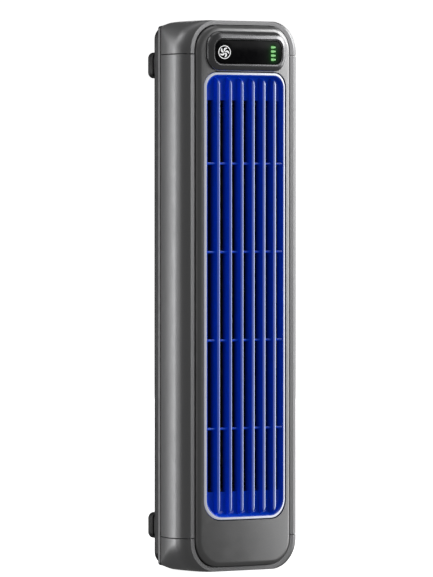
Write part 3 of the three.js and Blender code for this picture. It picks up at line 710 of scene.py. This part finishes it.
def build_grille():
    G = dict(nc=18, stops=36)

    def go(i):
        return outline(GRILLE_A - i, GRILLE_B - i, GRILLE_RT - i * 0.6, GRILLE_RB - i * 0.6, **G)

    yr = PANEL_Y + 0.15
    prof = [(0.0, 1.0), (0.06, 0.62), (0.22, 0.3), (0.48, 0.1), (0.85, 0.0), (1.25, 0.0), (1.6, 0.08), (1.88, 0.26), (2.06, 0.55), (2.16, 0.95),
            (2.3, 1.6), (2.5, 2.2), (2.85, 2.75), (3.4, 3.12), (4.1, 3.3), (5.0, 3.38)]
    rings = [ring(go(0.0), yr + 6.6)] + [ring(go(i), yr + y, CROWN_R) for i, y in prof]
    v, f, tag = loft(rings)
    # Ring bands 2 to 5 are the rim's front face, given the pale lilac painted highlight; everything else is blue.
    ob = make("louvred_outlet", v, f, tag, lambda t: 1 if 2 <= t <= 5 else 0)
    dress(ob, BLUE, RIM_PAINTED_HIGHLIGHT)
    o = outline(24.75, OUTLET_B, 1.2, nc=6, stops=2)
    v, f, _ = loft([ring(o, -5), ring(o, 20)])
    cut = make("cut", v, f)
    dress(cut, BLUE, RIM_PAINTED_HIGHLIGHT)
    boolean(ob, [cut])
    adds = []
    h = LOUVRE_T / 2
    for k in (-2.5, -1.5, -0.5, 0.5, 1.5, 2.5):
        x0, y0 = k * LOUVRE_PITCH, sag(k * LOUVRE_PITCH, 177.0)
        end, re = 118.6, 4.0
        zs = [-119.4, -end]
        for i in range(1, 13):
            zs.append(-end + re * (1 - math.cos(i / 12 * math.pi / 2)))
        zs += [-z for z in reversed(zs)]
        rings = []
        for z in zs:
            q = max(0.0, abs(z) - (end - re))
            back = re - math.sqrt(max(0.0, re * re - min(q, re) ** 2))
            yf = y0 + min(back, 3.7)
            sec = []
            for i in range(13):
                t = math.pi * i / 12
                sec.append((x0 - h * math.cos(t), yf + 1.0 - 1.0 * math.sin(t)))
            sec.append((x0 + h * 0.9, y0 + LOUVRE_DEPTH - 0.3))
            sec.append((x0 + h * 0.6, y0 + LOUVRE_DEPTH))
            sec.append((x0 - h * 0.6, y0 + LOUVRE_DEPTH))
            sec.append((x0 - h * 0.9, y0 + LOUVRE_DEPTH - 0.3))
            rings.append([(a, b, z) for a, b in sec])
        n = len(rings[0])
        verts = [p for r in rings for p in r]
        faces = [(k2 * n + i, k2 * n + (i + 1) % n, (k2 + 1) * n + (i + 1) % n, (k2 + 1) * n + i) for k2 in range(len(rings) - 1) for i in range(n)]
        faces += [tuple(range(n)), tuple((len(rings) - 1) * n + i for i in range(n))]
        adds.append(make("fin", verts, faces))
    for k in (-1.5, -0.5, 0.5, 1.5):
        zc = k * RIB_PITCH
        sec = [(3.2 + 0.45 - 0.45 * math.sin(t), zc + (RIB_T / 2) * (1 if i < 5 else -1) * 1.0 - (0.45 * (1 if i < 5 else -1)) * (1 - abs(math.cos(t))))
               for i, t in [(j, math.pi / 2 * (j / 4) if j < 5 else math.pi / 2 * ((9 - j) / 4)) for j in range(10)]]
        sec = [(3.65, zc + 0.65), (3.42, zc + 0.6), (3.26, zc + 0.46), (3.2, zc + 0.25), (3.2, zc - 0.25), (3.26, zc - 0.46), (3.42, zc - 0.6), (3.65, zc - 0.65),
               (6.6, zc - 0.6), (6.8, zc - 0.45), (6.8, zc + 0.45), (6.6, zc + 0.6)]
        rings = [[(x, y, z) for y, z in sec] for x in (-25.15, -12.0, 0.0, 12.0, 25.15)]
        n = len(sec)
        verts = [p for r in rings for p in r]
        faces = [(k2 * n + i, k2 * n + (i + 1) % n, (k2 + 1) * n + (i + 1) % n, (k2 + 1) * n + i) for k2 in range(4) for i in range(n)]
        faces += [tuple(range(n)), tuple(4 * n + i for i in range(n))]
        adds.append(make("rib", verts, faces))
    for a in adds:
        dress(a, BLUE, RIM_PAINTED_HIGHLIGHT)
    boolean(ob, adds, "UNION")
    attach(ob, "housing")
    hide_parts("outlet_grille")
    return ob


build_grille()

# ---------------------------------------------------------------------------------------------------------
# Display pod
# ---------------------------------------------------------------------------------------------------------


def build_pod():
    def po(a, b, r):
        return outline(a, b, r, cz=POD_Z, nc=20, stops=32)

    def trim(u):
        """Ring of the trim from its foot on the panel (u = 0) to its crest round the lens (u = 1)."""
        return outline(POD_A - 2.85 * u, POD_B - 3.45 * u, 8.2 - 3.0 * u, cz=POD_Z + 0.4 * (1 - u), nc=20, stops=32)

    rings = [ring(trim(0), PANEL_Y - 0.2, CROWN_R)]
    for u, y in ((0.015, 2.35), (0.05, 2.0), (0.10, 1.68), (0.17, 1.34), (0.25, 1.07), (0.33, 0.85), (0.41, 0.68), (0.48, 0.55), (0.55, 0.45), (0.63, 0.36), (0.72, 0.27), (0.82, 0.17), (0.90, 0.09), (0.96, 0.03), (1.0, 0.0)):
        rings.append(ring(trim(u), Y_FRONT + y, CROWN_R))
    for k, y in ((1.05, 0.02), (0.93, 0.12), (0.85, 0.28), (0.80, 0.42), (0.62, 0.46), (0.5, 0.40), (0.42, 0.32), (0.34, 0.32), (0.26, 0.4)):
        rings.append(ring(po(LENS_A + k, LENS_B + k, 4.3 + k), Y_FRONT + y, CROWN_R))
    inner = po(LENS_A + 0.2, LENS_B + 0.2, 4.5)
    rings.append(ring(inner, Y_FRONT + 0.55, CROWN_R))
    rings.append(ring(inner, 7.0))
    back = po(POD_A - 1.8, 8.25, 6.9)
    rings.append(ring(back, 7.0))
    rings.append(ring(back, PANEL_Y - 0.1, CROWN_R))
    v, f, _ = loft(rings, cyclic=True)
    ob = make("display_trim_ring", v, f, deg=26)
    dress(ob, TRIM)
    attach(ob, "housing")
    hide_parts("display_bezel")

    led_z = [POD_Z - 0.5 + k * LED_PITCH for k in (-1.5, -0.5, 0.5, 1.5)]
    rings = [ring(po(LENS_A, LENS_B, 4.3), 0.35, CROWN_R), ring(po(LENS_A, LENS_B, 4.3), Y_LENS + 0.25, CROWN_R)]
    for i in range(1, 6):
        t = i / 5 * math.pi / 2
        k = 0.25 * (1 - math.cos(t))
        rings.append(ring(po(LENS_A - k, LENS_B - k, 4.3 - k * 0.6), Y_LENS + 0.25 * (1 - math.sin(t)), CROWN_R))
    v, f, _ = loft(rings)
    lens = make("display_window", v, f)
    cut = []
    v, f = lathe_y([(0, -6), (KEY_R + 0.2, -6), (KEY_R + 0.2, 6), (0, 6)], 72, KEY_X, POD_Z)
    cut.append(make("cut", v, f))
    for z in led_z:
        o = outline(1.8, 0.72, 0.5, cx=LED_X, cz=z, nc=6, stops=2)
        v, f, _ = loft([ring(o, -6), ring(o, 6)])
        cut.append(make("cut", v, f))
    boolean(lens, cut)
    dress(lens, LENS)
    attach(lens, "housing")
    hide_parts("display_lens")

    # Round push key, flush with the window and crowned with it.
    seg = 72
    verts, faces, cols = [], [], []
    prof = [(0.0, 0), (1.0, 0), (2.0, 0), (3.0, 0), (3.8, 0), (4.05, 0.02), (4.17, 0.09), (4.2, 0.2)]
    for r, d in prof:
        if r == 0:
            cols.append([0])
            verts.append((KEY_X, Y_LENS + sag(KEY_X), POD_Z))
            continue
        c = []
        for k in range(seg):
            a = 2 * math.pi * k / seg
            x = KEY_X + r * math.cos(a)
            c.append(len(verts))
            verts.append((x, Y_LENS + sag(x) + d, POD_Z + r * math.sin(a)))
        cols.append(c)
    for r, y in ((4.2, 1.2), (1.7, 1.2), (1.7, 1.7)):
        c = []
        for k in range(seg):
            a = 2 * math.pi * k / seg
            c.append(len(verts))
            verts.append((KEY_X + r * math.cos(a), y, POD_Z + r * math.sin(a)))
        cols.append(c)
    cols.append([len(verts)])
    verts.append((KEY_X, 1.7, POD_Z))
    for a, b in zip(cols[:-1], cols[1:]):
        for k in range(seg):
            j = (k + 1) % seg
            if len(a) == 1:
                faces.append((a[0], b[k], b[j]))
            elif len(b) == 1:
                faces.append((a[k], b[0], a[j]))
            else:
                faces.append((a[k], b[k], b[j], a[j]))
    key = make("push_key", verts, faces, deg=30)
    dress(key, LENS)
    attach(key, "key")
    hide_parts("power_key")

    # Pictogram: a ring with a five-bladed wheel, thin print standing just proud of the key.
    KZ = POD_Z - 0.25
    pieces = []

    def plate(points, name):
        """Thin closed plate from a 2-D outline (x, z about the key's middle), laid on the crowned face."""
        c = (sum(p[0] for p in points) / len(points), sum(p[1] for p in points) / len(points))
        n = len(points)
        vs = []
        for lift in (-0.035, 0.02):
            for px, pz in points:
                x = KEY_X + px
                vs.append((x, Y_LENS + sag(x) + lift, KZ + pz))
            x = KEY_X + c[0]
            vs.append((x, Y_LENS + sag(x) + lift, KZ + c[1]))
        fs = []
        for i in range(n):
            j = (i + 1) % n
            fs += [(n, i, j), (n + 1 + n, n + 1 + j, n + 1 + i), (i, n + 1 + i, n + 1 + j, j)]
        pieces.append(make(name, vs, fs))

    EX, EZ = 1.06, 1.0
    seg = 96
    vs, fs = [], []
    for r, lift in ((3.66, 0.02), (3.66, -0.035), (3.26, -0.035), (3.26, 0.02)):
        for k in range(seg):
            a = 2 * math.pi * k / seg
            x = KEY_X + EX * r * math.cos(a)
            vs.append((x, Y_LENS + sag(x) + lift, KZ + EZ * r * math.sin(a)))
    for q in range(4):
        for k in range(seg):
            j = (k + 1) % seg
            fs.append((q * seg + k, q * seg + j, ((q + 1) % 4) * seg + j, ((q + 1) % 4) * seg + k))
    pieces.append(make("ring", vs, fs))
    for b in range(5):
        base = math.radians(90 + 72 * b)
        left, right = [], []
        m = 14
        for i in range(m + 1):
            s = i / m
            r = 0.35 + 2.42 * s
            mid = base + 0.30 - 0.85 * s ** 1.4
            w = 0.08 + 0.50 * math.sin(math.pi * min(1.0, s * 0.93) ** 1.5) ** 0.7
            left.append((EX * (r * math.cos(mid) - w * math.sin(mid)), EZ * (r * math.sin(mid) + w * math.cos(mid))))
            right.append((EX * (r * math.cos(mid) + w * math.sin(mid)), EZ * (r * math.sin(mid) - w * math.cos(mid))))
        plate(left + right[::-1], "blade%d" % b)
    pic = join(pieces, "key_pictogram")
    dress(pic, WHITE)
    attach(pic, "key")

    # Light guide: a block with four rounded bars that end just inside the window.
    yl = Y_LENS + sag(LED_X)
    bars = []
    o = outline(2.2, (led_z[3] - led_z[0]) / 2 + 1.1, 0.4, cx=LED_X, cz=(led_z[0] + led_z[3]) / 2, nc=5, stops=2)
    v, f, _ = loft([ring(o, 1.5), ring(o, 2.6)])
    block = make("level_light_guide", v, f)
    for z in led_z:
        rings = []
        for k, y in ((0, 1.9), (0, yl + 0.3), (0.05, yl + 0.17), (0.18, yl + 0.12)):
            rings.append(ring(outline(1.58 - k, 0.5 - k, 0.4 - k * 0.8, cx=LED_X, cz=z, nc=8, stops=2), y))
        v, f, _ = loft(rings)
        bars.append(make("bar", v, f))
    boolean(block, bars, "UNION")
    dress(block, LAMP)
    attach(block, "housing")
    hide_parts("indicator_light_guide")


build_pod()

# ---------------------------------------------------------------------------------------------------------
# Rear cover and feet
# ---------------------------------------------------------------------------------------------------------


def build_rear():
    def co(i, r=7.0):
        return outline(35.2 - i, 147.3 - i, r - i * 0.6, nc=14, stops=2)

    def io(a, b, r):
        return outline(a, b, r, nc=14, stops=2)

    cf = 3.2
    rings = [ring(io(28.0, 140.2, 3.0), Y_BACK - 2.0), ring(io(29.6, 141.8, 3.8), Y_BACK - 2.3), ring(io(30.8, 143.0, 4.4), Y_BACK - 3.2), ring(io(31.2, 143.4, 4.6), Y_BACK - 4.4),
             ring(io(31.2, 143.4, 4.6), SEAM_Y - 1.7), ring(io(32.3, 144.5, 5.4), SEAM_Y - 1.7), ring(io(32.6, 144.8, 5.6), SEAM_Y - 1.4), ring(io(32.6, 144.8, 5.6), SEAM_Y + 0.35),
             ring(co(0.35), SEAM_Y + 0.35), ring(co(0.1), SEAM_Y + 0.45), ring(co(0), SEAM_Y + 0.7), ring(co(0.15), Y_BACK - cf)]
    for i in range(1, 13):
        t = i / 12 * math.pi / 2
        rings.append(ring(co(0.15 + cf * (1 - math.cos(t))), Y_BACK - cf * (1 - math.sin(t))))
    v, f, _ = loft(rings)
    ob = make("slotted_rear_cover", v, f)

    def lip(inset, y):
        return [(x, y, z) for x, _, z in casing_ring(inset, SEAM_Y)]

    edge = [lip(0.45, SEAM_Y + 0.35), lip(0.12, SEAM_Y + 0.45), lip(0.0, SEAM_Y + 0.7)]
    edge += [lip(0.5 * (1 - math.cos(i / 4 * math.pi / 2)), LIP_Y - 0.5 + 0.5 * math.sin(i / 4 * math.pi / 2)) for i in range(5)]
    inner = [(x, SEAM_Y + 0.35, z) for x, z in outline(32.0, 144.4, 5.0, nc=NC, stops=STOPS)]
    inner2 = [(x, LIP_Y, z) for x, z in outline(32.0, 144.4, 5.0, nc=NC, stops=STOPS)]
    v, f, _ = loft(edge + [inner2, inner], cyclic=True)
    dress(ob, REAR, REAR_LIP)
    edge_ring = make("lip", v, f, [1] * len(f), lambda t: 1)
    dress(edge_ring, REAR, REAR_LIP)
    boolean(ob, [edge_ring], "UNION")
    cut = []
    for i in range(20):
        k = i - 9.5
        for s in (-1, 1):
            o = outline(9.2, 1.8, 1.75, cx=s * 10.6, cz=k * 9.6, nc=8, stops=2)
            v, f, _ = loft([ring(o, Y_BACK - 6), ring(o, Y_BACK + 3)])
            cut.append(make("cut", v, f))
    o = outline(1.85, 4.7, 1.8, cx=PORT_X, cz=PORT_Z, nc=10, stops=2)
    v, f, _ = loft([ring(o, 30), ring(o, 60)])
    cut.append(make("cut", v, f))
    for i in (-1, 1):
        for k in (-1, 1):
            v, f = lathe_y([(0, 30), (1.7, 30), (1.7, 60), (0, 60)], 32, i * FOOT_X, k * FOOT_Z)
            cut.append(make("cut", v, f))
    boolean(ob, cut)
    bevel(ob, 0.3, 2, 50.0)
    dress(ob, REAR, REAR_LIP)
    weighted(ob)
    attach(ob, "housing")
    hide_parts("rear_cover")
    yb = Y_BACK
    for i, u in ((-1, "left"), (1, "right")):
        for k, w in ((-1, "lower"), (1, "upper")):
            x, z = i * FOOT_X, k * FOOT_Z

            def fo(half, y):
                return ring(outline(half, half, half * 0.46, cx=x, cz=z, nc=14, stops=4), yb + y)

            prof = [(6.55, 0.25), (6.7, 0.4), (6.7, 2.9), (6.62, 3.1), (6.36, 3.2), (6.3, 3.35), (6.3, 3.5), (6.42, 3.62), (6.85, 3.7), (7.02, 3.8), (FOOT_A, 4.05)]
            prof += [(FOOT_A, 5.2), (FOOT_A, 6.5), (FOOT_A, 7.6), (7.04, 7.95), (6.9, 8.28), (6.66, 8.62), (6.35, 8.95), (6.0, 9.25), (5.7, 9.44), (5.4, FOOT_H), (4.4, FOOT_H), (4.2, 9.42), (4.1, 9.2)]
            verts, faces, tag = loft([fo(h, y) for h, y in prof])
            foot = make("pad_foot_%s_%s" % (w, u), verts, faces, tag, lambda t: 1 if -1 <= t <= 4 else 0, deg=26)
            dress(foot, RUBBER, FOOT_BASE)
            verts, faces = lathe_y([(0, yb - 1), (3.6, yb - 1), (3.6, yb + 3.2), (0, yb + 3.2)], 48, x, z)
            cut = make("cut", verts, faces)
            dress(cut, RUBBER, FOOT_BASE)
            boolean(foot, [cut], deg=26)
            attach(foot, "housing")
            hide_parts("rear_foot_%s_%s" % (w, u))


build_rear()

# ---------------------------------------------------------------------------------------------------------
# Carried-over CAD nodes
# ---------------------------------------------------------------------------------------------------------
KEEP = {
    "switch_plunger": PLUNGER, "switch_body": INNER, "display_board": BOARD, "blower_scroll": DUCT, "blower_tongue": DUCT,
    "blower_top_plate": DUCT, "blower_bottom_plate": DUCT, "fan_wheel": WHEEL, "top_pivot_pin": STEEL, "drive_hub": INNER, "motor_shaft": STEEL,
    "motor_armature": COPPER, "motor_can": PLATED, "motor_magnet_ring": FERRITE, "motor_end_bell": INNER, "motor_screw_left": STEEL, "motor_screw_right": STEEL,
    "bearing_mount": RUBBER, "bearing_bush": BRONZE, "battery_cell_lower": CELL, "battery_cell_upper": CELL, "battery_retainer_lower": INNER,
    "battery_retainer_upper": INNER, "control_board": BOARD, "charge_socket_shell": PLATED, "charge_socket_tongue": INNER, "battery_lead": RED,
    "motor_lead": YELLOW, "display_ribbon": RIBBON, "cover_screw_lower_left": STEEL, "cover_screw_upper_left": STEEL, "cover_screw_lower_right": STEEL,
    "cover_screw_upper_right": STEEL,
}
for name, mat in KEEP.items():
    dress(NODES[name], mat)
    for p in NODES[name].data.polygons:
        p.material_index = 0

# ---------------------------------------------------------------------------------------------------------
# Studio: pale floor that sweeps up all round, soft boxes, dim even sky
# ---------------------------------------------------------------------------------------------------------


def studio():
    seg = 96
    prof = [(0.0, 0.0), (0.6, 0.0), (1.5, 0.0), (4.0, 0.0), (6.5, 0.0)]
    for i in range(1, 13):
        t = i / 12 * math.pi / 2
        prof.append((6.5 + 2.0 * math.sin(t), 2.0 - 2.0 * math.cos(t)))
    prof.append((8.5, 9.0))
    verts, faces, cols = [], [], []
    for r, z in prof:
        if r == 0:
            cols.append([0])
            verts.append((0, 0, 0))
        else:
            cols.append([len(verts) + k for k in range(seg)])
            verts += [(r * math.cos(2 * math.pi * k / seg), r * math.sin(2 * math.pi * k / seg), z) for k in range(seg)]
    for a, b in zip(cols[:-1], cols[1:]):
        for k in range(seg):
            j = (k + 1) % seg
            faces.append((a[0], b[k], b[j]) if len(a) == 1 else (a[k], b[k], b[j], a[j]))
    me = bpy.data.meshes.new("studio_floor")
    me.from_pydata(verts, [], faces)
    for p in me.polygons:
        p.use_smooth = True
    ob = bpy.data.objects.new("studio_floor", me)
    SCENE.collection.objects.link(ob)
    m = Mat("studio_white")
    m.set(Base_Color=m.mix(m.remap(m.noise(3.0), 0.0, 1.0), (0.86, 0.86, 0.86), (0.88, 0.88, 0.88)), Roughness=0.9)
    m.b.inputs["Specular IOR Level"].default_value = 0.0
    m.b.inputs["Emission Color"].default_value = (1, 1, 1, 1)
    m.b.inputs["Emission Strength"].default_value = 0.93
    me.materials.append(m.m)
    ob.visible_glossy = False
    ob.visible_diffuse = False
    ob.visible_shadow = False

    w = bpy.data.worlds.new("studio_sky")
    SCENE.world = w
    w.use_nodes = True
    bg = w.node_tree.nodes["Background"]
    bg.inputs["Color"].default_value = (1.0, 1.0, 1.0, 1.0)
    bg.inputs["Strength"].default_value = SKY

    for az, el, radiance in LIGHTS:
        a, e = math.radians(az), math.radians(el)
        tall = 26.0 if el > 30 else 20.0
        at = Vector((math.sin(a) * math.cos(e), -math.cos(a) * math.cos(e), math.sin(e))) * SOFT_R + Vector((0, 0, 0.15))
        sx = 2 * SOFT_R * math.cos(e) * math.tan(math.radians(9.5))
        softbox("soft_%+d_%+d" % (az, el), at, Vector((0, 0, 0.15)), sx, 2 * SOFT_R * math.tan(math.radians(tall / 2)), radiance)
    softbox("soft_top", Vector((0.0, 0.0, 2.75)), Vector((0, 0, 0.15)), 1.8, 1.8, TOP)


def softbox(name, at, aim, sx, sy, radiance):
    """Rectangular soft light whose face has the given radiance; it lights and is reflected, but is never in shot."""
    L = bpy.data.lights.new(name, "AREA")
    L.shape = "RECTANGLE"
    L.size, L.size_y = sx, sy
    L.energy = math.pi * sx * sy * radiance
    o = bpy.data.objects.new(name, L)
    SCENE.collection.objects.link(o)
    o.location = at
    o.rotation_euler = (aim - at).to_track_quat("-Z", "Y").to_euler()
    o.visible_camera = False


# Soft boxes stand in a ring round the fan: (azimuth from the front, elevation, radiance); the front left is left dark.
SKY, TOP, SOFT_R = 0.14, 0.5, 2.6
LIGHTS = [
    (32, 17, 2.2), (50, 17, 3.7), (68, 17, 6.0), (86, 17, 5.2), (110, 17, 2.9), (140, 17, 2.1),
    (50, -3, 0.7), (68, -3, 0.9), (86, -3, 2.2), (110, -3, 0.6), (140, -3, 0.9),
    (-160, -3, 0.12), (-140, -3, 3.3), (-120, -3, 0.65), (-100, -3, 0.93),
    (-140, 17, 1.6), (-120, 17, 0.8), (32, 40, 0.85), (110, 40, 0.13), (-120, 40, 2.1), (-100, 40, 1.06), (-80, 40, 0.2), (-50, 40, 0.11),
]
studio()
SCENE.view_settings.view_transform = "Standard"
SCENE.view_settings.look = "None"
